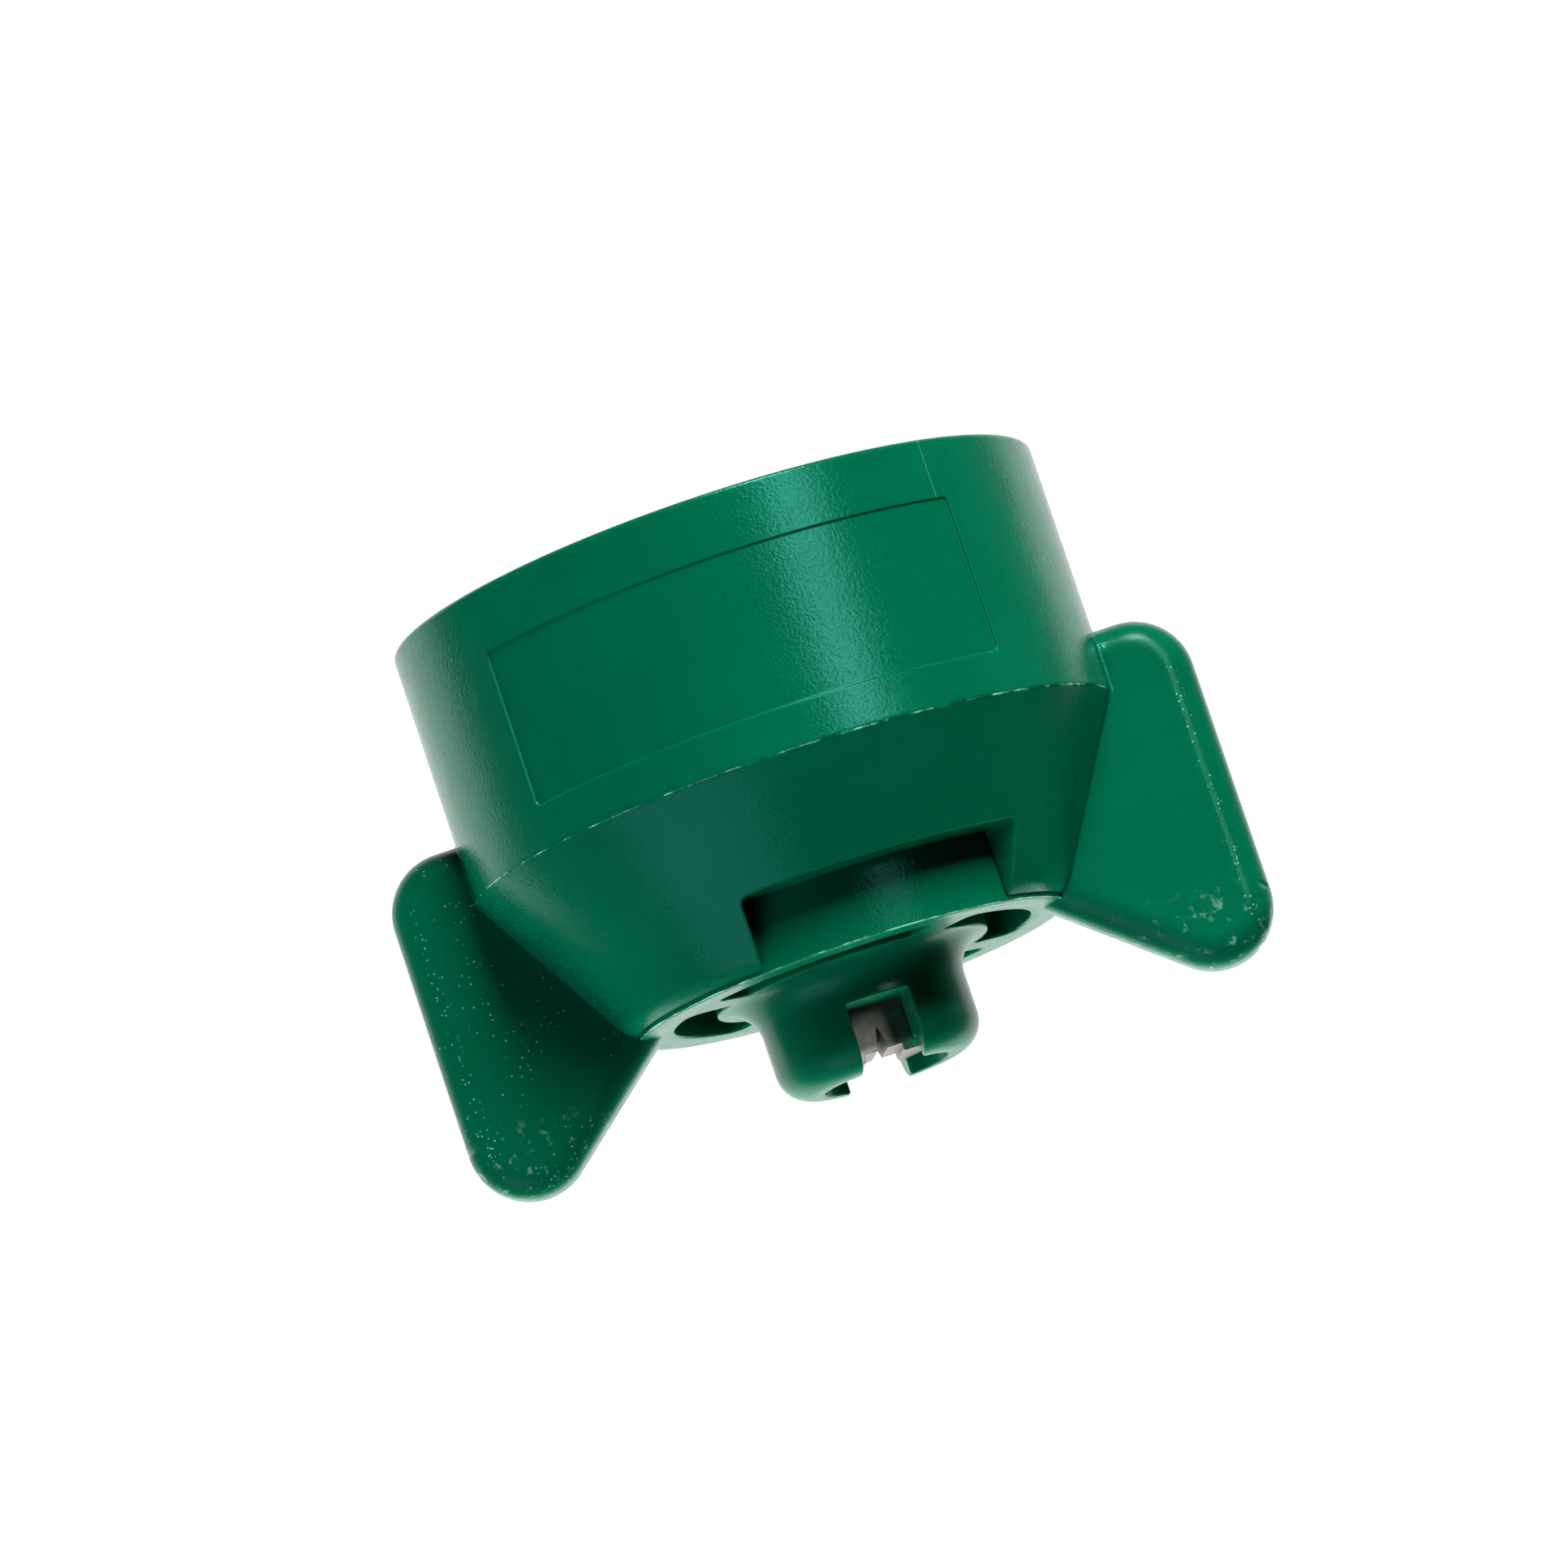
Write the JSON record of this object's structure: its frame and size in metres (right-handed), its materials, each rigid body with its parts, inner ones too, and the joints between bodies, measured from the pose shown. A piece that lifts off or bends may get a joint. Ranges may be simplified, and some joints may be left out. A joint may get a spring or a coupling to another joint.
{
  "type": "bayonet spray nozzle cap",
  "caption": "Winged bayonet cap with a flat-fan spray tip moulded into it, which twists onto a sprayer nozzle body and seals on a rubber gasket.",
  "frame": {"origin": "centre of the open rim, where the socket's mouth is", "axes": "+Z along the nozzle axis out of the socket, towards the spray body; the spray leaves towards -Z; X across the two wings; the label panels face -Y and +Y"},
  "size_m": [0.0438, 0.035, 0.0292],
  "materials": {
    "cap_plastic": "green acetal with a fine spark-eroded texture",
    "tip_plastic": "green acetal, smooth",
    "insert_steel": "machined stainless steel",
    "gasket_rubber": "matt black EPDM"
  },
  "bodies": {
    "cap": {"cap_shell": "cap_plastic", "tip_body": "tip_plastic", "orifice_insert": "insert_steel"},
    "gasket": {"seat_gasket": "gasket_rubber"}
  },
  "joints": [
    {"name": "gasket_lift", "type": "slide", "parent": "cap", "child": "gasket", "axis": [0, 0, 1], "range_m": [0, 0.016]}
  ]
}
